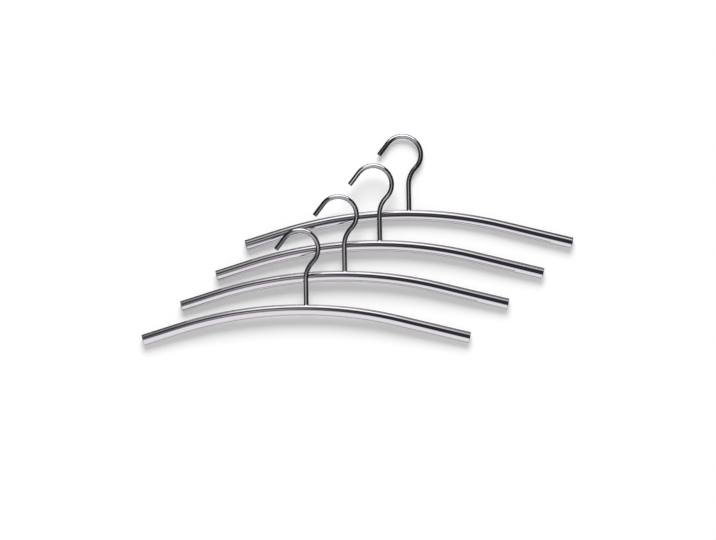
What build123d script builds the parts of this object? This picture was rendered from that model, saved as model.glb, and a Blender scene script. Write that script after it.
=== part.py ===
"""Four bow-shaped hangers of polished steel tube, lying staggered with each hook over the tube behind it.

Each hanger is a bent tube with a bent round-rod hook. The hook's screwed end goes through the tube's top
wall into a slug that sits inside the bore, and a flush plug closes each end of the tube.

Frame: millimetres, +Z up from the table that the hangers lie on, +Y towards the hooks, origin at the
bottom centre of the whole set. A hanger's own frame has its origin on the tube's axis under the hook,
+X along the tube and +Y along the hook's stem.
"""

import os
from math import asin, atan2, cos, degrees, hypot, radians, sin, sqrt

from build123d import *

os.makedirs("parts", exist_ok=True)

# Bow tube: bent once round a large radius, with a straight run left at each end
tube_diameter = 14.0
tube_wall = 1.0
bow_radius = 528.0
left_end_slope = 17.8
right_end_slope = 13.4
left_straight = 43.6
right_straight = 90.5
bow_lean = 0.4

# Hook: a rod that rises from the bow, swings out over a wide neck and loops back to a straight tip
rod_diameter = 6.0
stem_lean = 1.0
stem_height = 32.3
neck_radius = 30.2
neck_turn = 42.4
diagonal_run = 3.4
loop_radius = 23.6
loop_turn = 184.5
tip_run = 18.6
tip_chamfer = 0.5

# Screwed end of the hook, a shoulder slimmer than the rod, and the slug that takes it
thread_shoulder = 0.5
thread_clearance = 0.02
thread_end_gap = 2.5
seat_depth = 2.0
hole_clearance = 0.1
anchor_length = 20.0
anchor_chamfer = 0.6
anchor_clearance = 0.05

# End plugs
plug_rim = 1.2
plug_crown = 0.5
plug_rim_fillet = 0.4
spigot_length = 9.0
spigot_chamfer = 0.6
spigot_clearance = 0.05

# Stack on the table: how far each hanger lies left of and below the one behind it, seen from above
third_step_left = 37.3
third_step_down = 39.1
second_step_left = 44.7
second_step_down = 39.1
front_step_left = 48.9
front_step_down = 43.0
crossing_gap = 0.3

cut_overrun = 2.0

tube_radius = tube_diameter / 2
bore_radius = tube_radius - tube_wall
rod_radius = rod_diameter / 2
thread_radius = rod_radius - thread_shoulder
seat_height = bore_radius - seat_depth
thread_length = seat_height + bore_radius - thread_end_gap
steps = {
    "third": Vector(-third_step_left, -third_step_down),
    "second": Vector(-second_step_left, -second_step_down),
    "front": Vector(-front_step_left, -front_step_down),
}

# Centreline of the bow, in the hanger's own frame
bow_centre = Vector(-bow_radius * sin(radians(bow_lean)), -bow_radius * cos(radians(bow_lean)))
with BuildLine() as bow_path:
    bow_arc = CenterArc(bow_centre, bow_radius, 90 - right_end_slope, right_end_slope + left_end_slope)
    right_run = PolarLine(bow_arc @ 0, right_straight, -right_end_slope)
    left_run = PolarLine(bow_arc @ 1, left_straight, 180 + left_end_slope)
right_end = Plane(origin=right_run @ 1, z_dir=right_run % 1)
left_end = Plane(origin=left_run @ 1, z_dir=left_run % 1)

# The stem's axis, which the hole, the seat and the thread share
stem_axis = Plane(origin=(0, 0, 0), z_dir=(-sin(radians(stem_lean)), cos(radians(stem_lean)), 0))

with BuildPart() as bow_tube:
    with BuildSketch(left_end):
        Circle(tube_radius)
        Circle(bore_radius, mode=Mode.SUBTRACT)
    sweep(path=bow_path.wires()[0])
    with BuildSketch(stem_axis):
        Circle(rod_radius + hole_clearance)
    extrude(amount=tube_radius + cut_overrun, mode=Mode.SUBTRACT)

with BuildLine() as hook_path:
    stem = PolarLine(
        stem_axis.z_dir * seat_height, tube_radius + stem_height - seat_height, direction=stem_axis.z_dir
    )
    neck = JernArc(stem @ 1, stem % 1, neck_radius, -neck_turn)
    diagonal = PolarLine(neck @ 1, diagonal_run, direction=neck % 1)
    loop = JernArc(diagonal @ 1, diagonal % 1, loop_radius, loop_turn)
    tip = PolarLine(loop @ 1, tip_run, direction=loop % 1)

with BuildPart() as hook:
    with BuildSketch(stem_axis.offset(seat_height)):
        Circle(rod_radius)
    sweep(path=hook_path.wires()[0])
    tip_face = hook.faces().sort_by_distance(tip @ 1)[0]
    chamfer(tip_face.edges(), tip_chamfer)
    with BuildSketch(stem_axis.offset(seat_height)):
        Circle(thread_radius)
    extrude(amount=-thread_length)

# The slug lies along the tube's own direction under the hook, slim enough for the bend
bend_room = anchor_length**2 / (8 * bow_radius)
anchor_radius = bore_radius - bend_room - anchor_clearance
with BuildPart() as hook_anchor:
    with BuildSketch(Plane(origin=(0, 0, 0), z_dir=(cos(radians(bow_lean)), -sin(radians(bow_lean)), 0))):
        Circle(anchor_radius)
    extrude(amount=anchor_length / 2, both=True)
    chamfer(hook_anchor.edges().filter_by(GeomType.CIRCLE), anchor_chamfer)
    with BuildSketch(stem_axis):
        Circle(thread_radius + thread_clearance)
    extrude(amount=bore_radius + cut_overrun, both=True, mode=Mode.SUBTRACT)
    with BuildSketch(stem_axis.offset(seat_height)):
        Circle(rod_radius + hole_clearance)
    extrude(amount=seat_depth + cut_overrun, mode=Mode.SUBTRACT)

# One plug, in its own frame: the tube's end face at z = 0, outwards along +Z
spigot_radius = bore_radius - spigot_clearance
crown_radius = (tube_radius**2 + plug_crown**2) / (2 * plug_crown)
crown_angle = degrees(asin(tube_radius / crown_radius))
with BuildPart() as end_plug:
    with BuildSketch(Plane.XZ):
        with BuildLine():
            crown = CenterArc(
                (0, plug_rim + plug_crown - crown_radius), crown_radius, 90 - crown_angle, crown_angle
            )
            Polyline(
                crown @ 1,
                (0, -spigot_length),
                (spigot_radius - spigot_chamfer, -spigot_length),
                (spigot_radius, -spigot_length + spigot_chamfer),
                (spigot_radius, 0),
                (tube_radius, 0),
                crown @ 0,
            )
        make_face()
    revolve(axis=Axis.Z)
    rim_edge = end_plug.edges().filter_by(lambda edge: edge.is_closed).sort_by(Axis.Z)[-1]
    fillet(rim_edge, plug_rim_fillet)

hanger_pieces = {
    "bow_tube": bow_tube.part,
    "hook": hook.part,
    "hook_anchor": hook_anchor.part,
    "left_end_plug": end_plug.part.moved(left_end.location),
    "right_end_plug": end_plug.part.moved(right_end.location),
}

# A hanger tilts about its chord, the line through the middles of its two end faces
chord = right_end.origin - left_end.origin
chord_slope = chord.Y / chord.X
chord_angle = degrees(atan2(chord.Y, chord.X))
chord_axis = Axis((0, 0, 0), chord.normalized())


def reach(point, start=left_end.origin):
    """Distance of a point from the chord that starts at start, as seen from above."""
    return (point.Y - start.Y - (point.X - start.X) * chord_slope) * cos(radians(chord_angle))


def bow_point(x):
    """The point of the bow's centreline at x, in the hanger's own frame."""
    return Vector(x, bow_centre.Y + sqrt(bow_radius**2 - (x - bow_centre.X) ** 2))


def hanger_plane(corner, tilt):
    """The frame of a hanger whose left end face is centred on corner, tilted about its chord."""
    across = Vector(1, 0, 0).rotate(chord_axis, tilt)
    upright = Vector(0, 0, 1).rotate(chord_axis, tilt)
    at_corner = Plane(origin=corner, x_dir=across, z_dir=upright)
    return Plane(origin=at_corner.from_local_coords(-left_end.origin), x_dir=across, z_dir=upright)


# The rear hanger lies flat on its tube
corner = Vector(0, 0, tube_radius)
tilts = {"rear": 0.0}
planes = {"rear": hanger_plane(corner, tilts["rear"])}

# Each hanger in front lies on its two ends, with its stem over the bow of the one behind
behind = planes["rear"]
for place, step in steps.items():
    corner += step
    crossing = behind.from_local_coords(bow_point(step.X))
    away = reach(crossing, corner)
    rise = crossing.Z - tube_radius
    apart = tube_radius + rod_radius + crossing_gap
    tilts[place] = degrees(atan2(rise, away) + asin(apart / hypot(rise, away)))
    planes[place] = behind = hanger_plane(corner, tilts[place])

placed = {}
for place, plane in planes.items():
    for piece, solid in hanger_pieces.items():
        placed[f"{piece}_{place}"] = solid.moved(plane.location)

# The origin goes to the bottom centre of the set
box = Compound(list(placed.values())).bounding_box()
to_origin = Location((-box.center().X, -box.center().Y, -box.min.Z))
for node, solid in placed.items():
    solid = solid.moved(to_origin)
    solid.label = node
    export_step(solid, f"parts/{node}.step")
print("tilts in degrees:", {place: round(tilt, 2) for place, tilt in tilts.items()})
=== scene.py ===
"""Looks of four polished steel hangers that lie staggered on a white table.

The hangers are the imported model's own pieces. This script gives them their steel finishes and builds
the studio round them: a white table, one soft key light, light strips and a shell of lit and dark walls
that the polished steel mirrors, and the camera above the table. Lengths are metres, angles degrees.
"""

from math import cos, pi, radians, sin

import bpy
from mathutils import Matrix, Vector

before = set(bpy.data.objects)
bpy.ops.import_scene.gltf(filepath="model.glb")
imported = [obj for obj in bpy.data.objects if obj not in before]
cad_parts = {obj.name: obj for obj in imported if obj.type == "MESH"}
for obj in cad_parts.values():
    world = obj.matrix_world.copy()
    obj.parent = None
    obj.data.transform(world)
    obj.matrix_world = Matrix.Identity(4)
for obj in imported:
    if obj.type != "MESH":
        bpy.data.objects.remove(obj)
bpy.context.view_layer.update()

# Camera: far above the table, leaning a little towards the viewer, as a long lens sees it
photo_width_pixels = 716
metres_per_pixel = 0.0012755
camera_lean = 6.5
camera_distance = 8.0
camera_reach = 32.0
sensor_width = 36.0
aim_x = 0.0004
aim_y = -0.0384

# Table, key light and sky: the table's glow shows to the camera and in reflections only, and polished
# steel mirrors no more than table_share of the table
table_size = 12.0
table_white = (0.8, 0.8, 0.8, 1.0)
table_glow = 0.28
table_share = 0.06
key_height = 46.0
key_softness = 36.0
key_strength = 2.65
sky_strength = 0.40

# Light strips that face the middle of the table: width and depth, level, and place
beyond_size = (0.9, 0.5)
beyond_level = 3.6
beyond_place = (0.03, 0.72, 0.47)
overhead_size = (0.22, 0.72)
overhead_level = 1.5
overhead_place = (0.03, -0.05, 0.9)
side_size = (1.6, 0.7)
side_level = 0.9
side_offset = 2.0
side_beyond = 0.1
side_height = 0.7

# Shell of studio walls: a trough along X, far off beyond the hooks and near at the viewer's side, and
# the larger shell_change is, the sooner one gives way to the other overhead
shell_far = 2.5
shell_near = 1.0
shell_change = 2.0
shell_length = 16.0
shell_sides = 96
dark_room = (0.030, 0.028, 0.038, 1.0)
grey_panel = (0.48, 0.45, 0.48, 1.0)
white_wall = (0.92, 0.89, 0.93, 1.0)
bright_window = (1.6, 1.58, 1.61, 1.0)

# Where the shell is lit: (place, level) stops over the angle from overhead, which is positive beyond the
# hooks, or over X as a share of the distance from the trough's axis; the white wall's upper edge drops
# by wall_drop times its level, and the window's angle leans with X by window_slant
panel_by_x = [
    (-0.9, 0), (-0.5, 0.1), (-0.3, 0.3), (-0.2, 0.85), (-0.14, 1), (-0.09, 0.9), (-0.045, 0.6),
    (0, 0.27), (0.045, 0.12), (0.09, 0.04), (0.14, 0),
]
panel_by_angle = [(-6, 0), (2, 0.6), (7, 1), (17, 1), (27, 0.12), (40, 0)]
wall_top = -1.0
wall_full = -31.0
wall_drop = 24.0
wall_drop_by_x = [(-0.2, 0), (-0.12, 0.08), (-0.04, 0.27), (0, 0.4), (0.03, 0.58), (0.08, 0.82), (0.16, 1.1)]
wall_by_x = [(-1.5, 0), (-1.1, 0.6), (-0.8, 1), (0.35, 1), (0.6, 0.55), (0.95, 0)]
wall_foot_by_angle = [(-155, 0.64), (-125, 0.74), (-110, 0.85), (-92, 1.0)]
window_slant = 14.0
window_by_slant = [(40, 0), (46, 0.12), (53, 0.5), (61, 0.92), (68, 1), (88, 1), (104, 0.6), (130, 0.5)]
window_by_x = [
    (-0.8, 0), (-0.5, 0.2), (-0.41, 0.36), (-0.35, 0.36), (-0.3, 0.5), (-0.2, 0.92), (-0.1, 1),
    (0, 0.97), (0.1, 0.93), (0.18, 0.94), (0.26, 0.82), (0.35, 0.45), (0.5, 0.15), (0.7, 0),
]
pool_start = 68.0
pool_full = 90.0
pool_by_x = [
    (-0.4, 0), (-0.32, 0.02), (-0.21, 0.1), (-0.105, 0.46), (-0.04, 0.88), (0, 1), (0.04, 0.9),
    (0.105, 0.52), (0.19, 0.22), (0.28, 0.08), (0.45, 0),
]

# Steel: a greyer tint at its grazing edges, clouds of rougher polish, and hairlines stretched along X
edge_tint = 0.35
cloud_scale = 90.0
cloud_detail = 4.0
hairline_scale = (40.0, 900.0, 900.0)
hairline_detail = 3.0
hairline_strength = 0.04
hairline_height = 0.0002


class Shader:
    """A small helper that adds nodes to one node tree and joins them up."""

    def __init__(self, tree):
        self.tree = tree
        tree.nodes.clear()

    def add(self, kind, inputs=(), **settings):
        """A new node; inputs maps a socket's name or place to a value or to another node's output."""
        node = self.tree.nodes.new(kind)
        for name, value in settings.items():
            setattr(node, name, value)
        for name, value in dict(inputs).items():
            self.feed(node.inputs[name], value)
        return node

    def feed(self, socket, value):
        """Joins an output to the socket, or sets the socket's own value."""
        if isinstance(value, bpy.types.NodeSocket):
            self.tree.links.new(value, socket)
        else:
            socket.default_value = value

    def math(self, operation, *values):
        """The output of a Math node on one or more numbers."""
        return self.add("ShaderNodeMath", dict(enumerate(values)), operation=operation).outputs[0]

    def rise(self, value, start, end):
        """Goes smoothly from 0 to 1 while value goes from start to end."""
        sockets = {"Value": value, "From Min": start, "From Max": end}
        return self.add("ShaderNodeMapRange", sockets, interpolation_type="SMOOTHSTEP").outputs[0]

    def levels(self, value, stops):
        """The level at value, read from (place, level) stops that straight lines join."""
        low, high = stops[0][0], stops[-1][0]
        place = self.add("ShaderNodeMapRange", {"Value": value, "From Min": low, "From Max": high})
        ramp = self.add("ShaderNodeValToRGB", {"Fac": place.outputs[0]})
        marks = ramp.color_ramp.elements
        marks[0].color = (stops[0][1],) * 3 + (1.0,)
        marks[1].color = (stops[-1][1],) * 3 + (1.0,)
        for at, level in stops[1:-1]:
            marks.new((at - low) / (high - low)).color = (level, level, level, 1.0)
        return ramp.outputs["Color"]

    def paint(self, below, above, cover):
        """The colour above laid over the colour below; cover goes from 0, none, to 1, all."""
        mix = self.add("ShaderNodeMix", {0: cover, 6: below, 7: above}, data_type="RGBA")
        return mix.outputs[2]


def material(name):
    """A new material and the helper for its nodes."""
    made = bpy.data.materials.new(name)
    made.use_nodes = True
    return made, Shader(made.node_tree)


def link(thing):
    """Puts a new object into the scene."""
    bpy.context.scene.collection.objects.link(thing)
    return thing


def kind_of(name):
    """What a piece is: its name without the hanger's place in the stack."""
    return name.rsplit("_", 1)[0]


def make_camera():
    """The camera above the table; its frame is as wide as the photograph at the table's height."""
    lens = bpy.data.cameras.new("camera")
    lens.sensor_width = sensor_width
    lens.lens = sensor_width * camera_distance / (photo_width_pixels * metres_per_pixel)
    lens.clip_end = camera_reach
    camera = link(bpy.data.objects.new("camera", lens))
    lean = radians(camera_lean)
    across = Vector((1, 0, 0))
    upward = Vector((0, cos(lean), sin(lean)))
    back = Vector((0, -sin(lean), cos(lean)))
    facing = Matrix((across, upward, back)).transposed().to_4x4()
    place = Vector((aim_x, aim_y, 0)) + back * camera_distance
    camera.matrix_world = Matrix.Translation(place) @ facing
    bpy.context.scene.camera = camera


def seen_directly(shader):
    """1 for camera, glossy and transmission rays, 0 for the rays that carry light to a surface."""
    path = shader.add("ShaderNodeLightPath").outputs
    seen = shader.math("MAXIMUM", path["Is Camera Ray"], path["Is Glossy Ray"])
    return shader.math("MAXIMUM", seen, path["Is Transmission Ray"])


def make_table():
    """A white table that keeps the hangers' soft shadow and looks white where nothing shades it.

    Polished steel sees it as a thin veil in front of the studio's lower walls.
    """
    mesh = bpy.data.meshes.new("table")
    half = table_size / 2
    corners = [(-half, -half, 0), (half, -half, 0), (half, half, 0), (-half, half, 0)]
    mesh.from_pydata(corners, [], [(0, 1, 2, 3)])
    table = link(bpy.data.objects.new("table", mesh))
    white, shader = material("table_white")
    paper = shader.add("ShaderNodeBsdfDiffuse", {"Color": table_white}).outputs[0]
    glow_strength = shader.math("MULTIPLY", seen_directly(shader), table_glow)
    glow = shader.add("ShaderNodeEmission", {"Strength": glow_strength}).outputs[0]
    sheet = shader.add("ShaderNodeAddShader", {0: paper, 1: glow}).outputs[0]
    clear = shader.add("ShaderNodeBsdfTransparent").outputs[0]
    mirrored = shader.add("ShaderNodeLightPath").outputs["Is Glossy Ray"]
    clearness = shader.math("MULTIPLY", mirrored, 1.0 - table_share)
    veil = shader.add("ShaderNodeMixShader", {0: clearness, 1: sheet, 2: clear}).outputs[0]
    shader.add("ShaderNodeOutputMaterial", {"Surface": veil})
    mesh.materials.append(white)


def make_key_light():
    """One soft light beyond the hooks, which throws the shadows towards the viewer."""
    lamp = bpy.data.lights.new("key_light", "SUN")
    lamp.angle = radians(key_softness)
    lamp.energy = key_strength
    key = link(bpy.data.objects.new("key_light", lamp))
    height = radians(key_height)
    away = Vector((0, cos(height), sin(height)))
    key.location = away
    key.rotation_euler = away.to_track_quat("Z", "Y").to_euler()
    key.visible_glossy = False
    key.visible_camera = False


def make_strips():
    """Light strips that only some pieces mirror: two for the hooks, and one off each end for the rest."""
    rods, bows = bpy.data.collections.new("rods"), bpy.data.collections.new("bows")
    for name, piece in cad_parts.items():
        group = rods if kind_of(name) == "hook" else bows
        group.objects.link(piece)
    for name, group, (width, depth), level, place in (
        ("glint_beyond", rods, beyond_size, beyond_level, beyond_place),
        ("glint_overhead", rods, overhead_size, overhead_level, overhead_place),
        ("left_strip", bows, side_size, side_level, (-side_offset, side_beyond, side_height)),
        ("right_strip", bows, side_size, side_level, (side_offset, side_beyond, side_height)),
    ):
        strip = bpy.data.lights.new(name, "AREA")
        strip.shape = "RECTANGLE"
        strip.size, strip.size_y = width, depth
        strip.energy = level * pi * width * depth
        lamp = link(bpy.data.objects.new(name, strip))
        lamp.location = place
        lamp.rotation_euler = Vector(place).to_track_quat("Z", "Y").to_euler()
        lamp.visible_camera = False
        lamp.visible_diffuse = False
        lamp.light_linking.receiver_collection = group


def make_world():
    """A white surround for the camera, and an even soft sky for the light that falls on surfaces."""
    world = bpy.data.worlds.new("surround")
    world.use_nodes = True
    bpy.context.scene.world = world
    shader = Shader(world.node_tree)
    seen = seen_directly(shader)
    extra = shader.math("MULTIPLY", seen, 1.0 - sky_strength)
    strength = shader.math("ADD", extra, sky_strength)
    sky = shader.add("ShaderNodeBackground", {"Strength": strength}).outputs[0]
    shader.add("ShaderNodeOutputWorld", {"Surface": sky})


def make_shell():
    """The lit and dark walls round the table, which only polished surfaces see."""
    ring = []
    for side in range(shell_sides):
        turn = radians(360 * side / shell_sides)
        blend = min(max(0.5 + shell_change * sin(turn), 0.0), 1.0)
        radius = shell_near + (shell_far - shell_near) * blend
        ring.append((radius * sin(turn), radius * cos(turn)))
    half = shell_length / 2
    corners = [(x, y, z) for x in (-half, half) for y, z in ring]
    walls = [
        (side, (side + 1) % shell_sides, shell_sides + (side + 1) % shell_sides, shell_sides + side)
        for side in range(shell_sides)
    ]
    ends = [tuple(range(shell_sides)), tuple(range(shell_sides, 2 * shell_sides))]
    mesh = bpy.data.meshes.new("studio_shell")
    mesh.from_pydata(corners, [], walls + ends)
    shell = link(bpy.data.objects.new("studio_shell", mesh))
    shell.visible_camera = False
    shell.visible_diffuse = False
    shell.visible_shadow = False
    shell.visible_transmission = False
    mesh.materials.append(shell_material())


def shell_material():
    """Soft window towards the hooks, white wall towards the viewer, dark room overhead."""
    glow, shader = material("studio_shell")
    place = shader.add("ShaderNodeNewGeometry").outputs["Position"]
    axes = shader.add("ShaderNodeSeparateXYZ", {0: place}).outputs
    flat = shader.add("ShaderNodeCombineXYZ", {"X": 0.0, "Y": axes["Y"], "Z": axes["Z"]}).outputs[0]
    distance = shader.add("ShaderNodeVectorMath", {0: flat}, operation="LENGTH").outputs["Value"]
    x = shader.math("DIVIDE", axes["X"], distance)
    angle = shader.math("DEGREES", shader.math("ARCTAN2", axes["Y"], axes["Z"]))

    # Dark room with a grey panel overhead on the left, which ends before the window
    panel = shader.math("MULTIPLY", shader.levels(x, panel_by_x), shader.levels(angle, panel_by_angle))
    light = shader.paint(dark_room, grey_panel, panel)

    # White wall on the viewer's side, which starts lower on the right and darkens under the table
    drop = shader.math("MULTIPLY", shader.levels(x, wall_drop_by_x), wall_drop)
    wall_height = shader.rise(shader.math("ADD", angle, drop), wall_top, wall_full)
    foot = shader.levels(angle, wall_foot_by_angle)
    wall_width = shader.math("MULTIPLY", shader.levels(x, wall_by_x), foot)
    light = shader.paint(light, white_wall, shader.math("MULTIPLY", wall_height, wall_width))

    # Soft window beyond the hooks, which leans down to the right, and the narrower pool of light under it
    slant = shader.math("MULTIPLY_ADD", x, window_slant, angle)
    window_height = shader.levels(slant, window_by_slant)
    lower = shader.rise(slant, pool_start, pool_full)
    widths = {"Factor": lower, "A": shader.levels(x, window_by_x), "B": shader.levels(x, pool_by_x)}
    window_width = shader.add("ShaderNodeMix", widths).outputs[0]
    light = shader.paint(light, bright_window, shader.math("MULTIPLY", window_height, window_width))

    emission = shader.add("ShaderNodeEmission", {"Color": light}).outputs[0]
    shader.add("ShaderNodeOutputMaterial", {"Surface": emission})
    return glow


def polished_steel(name, colour, roughness, spread):
    """Polished steel with a fine uneven polish and faint hairlines along the drawn length."""
    steel, shader = material(name)
    place = shader.add("ShaderNodeTexCoord").outputs["Object"]
    cloud_sockets = {"Vector": place, "Scale": cloud_scale, "Detail": cloud_detail}
    cloud = shader.add("ShaderNodeTexNoise", cloud_sockets).outputs[0]
    polish_sockets = {"Value": cloud, "To Min": roughness - spread, "To Max": roughness + spread}
    polish = shader.add("ShaderNodeMapRange", polish_sockets).outputs[0]
    stretched = shader.add("ShaderNodeMapping", {"Vector": place, "Scale": hairline_scale}).outputs[0]
    line_sockets = {"Vector": stretched, "Scale": 1.0, "Detail": hairline_detail}
    hairlines = shader.add("ShaderNodeTexNoise", line_sockets).outputs[0]
    bump_sockets = {"Height": hairlines, "Strength": hairline_strength, "Distance": hairline_height}
    bump = shader.add("ShaderNodeBump", bump_sockets).outputs[0]
    sockets = {
        "Base Color": (*colour, 1.0),
        "Metallic": 1.0,
        "Roughness": polish,
        "Specular Tint": (edge_tint, edge_tint, edge_tint, 1.0),
        "Normal": bump,
    }
    surface = shader.add("ShaderNodeBsdfPrincipled", sockets).outputs[0]
    shader.add("ShaderNodeOutputMaterial", {"Surface": surface})
    return steel


def finish_steel():
    """Gives every piece its finish."""
    plug_steel = polished_steel("plug_steel", colour=(0.78, 0.77, 0.78), roughness=0.12, spread=0.03)
    finishes = {
        "bow_tube": polished_steel("tube_steel", colour=(0.8, 0.79, 0.8), roughness=0.035, spread=0.015),
        "hook_anchor": polished_steel("anchor_steel", colour=(0.55, 0.55, 0.56), roughness=0.35, spread=0.05),
        "hook": polished_steel("rod_steel", colour=(0.42, 0.42, 0.44), roughness=0.08, spread=0.02),
        "left_end_plug": plug_steel,
        "right_end_plug": plug_steel,
    }
    for name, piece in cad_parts.items():
        for slot in piece.material_slots:
            slot.material = finishes[kind_of(name)]


finish_steel()
make_table()
make_key_light()
make_strips()
make_shell()
make_world()
make_camera()
bpy.context.scene.view_settings.view_transform = "Standard"
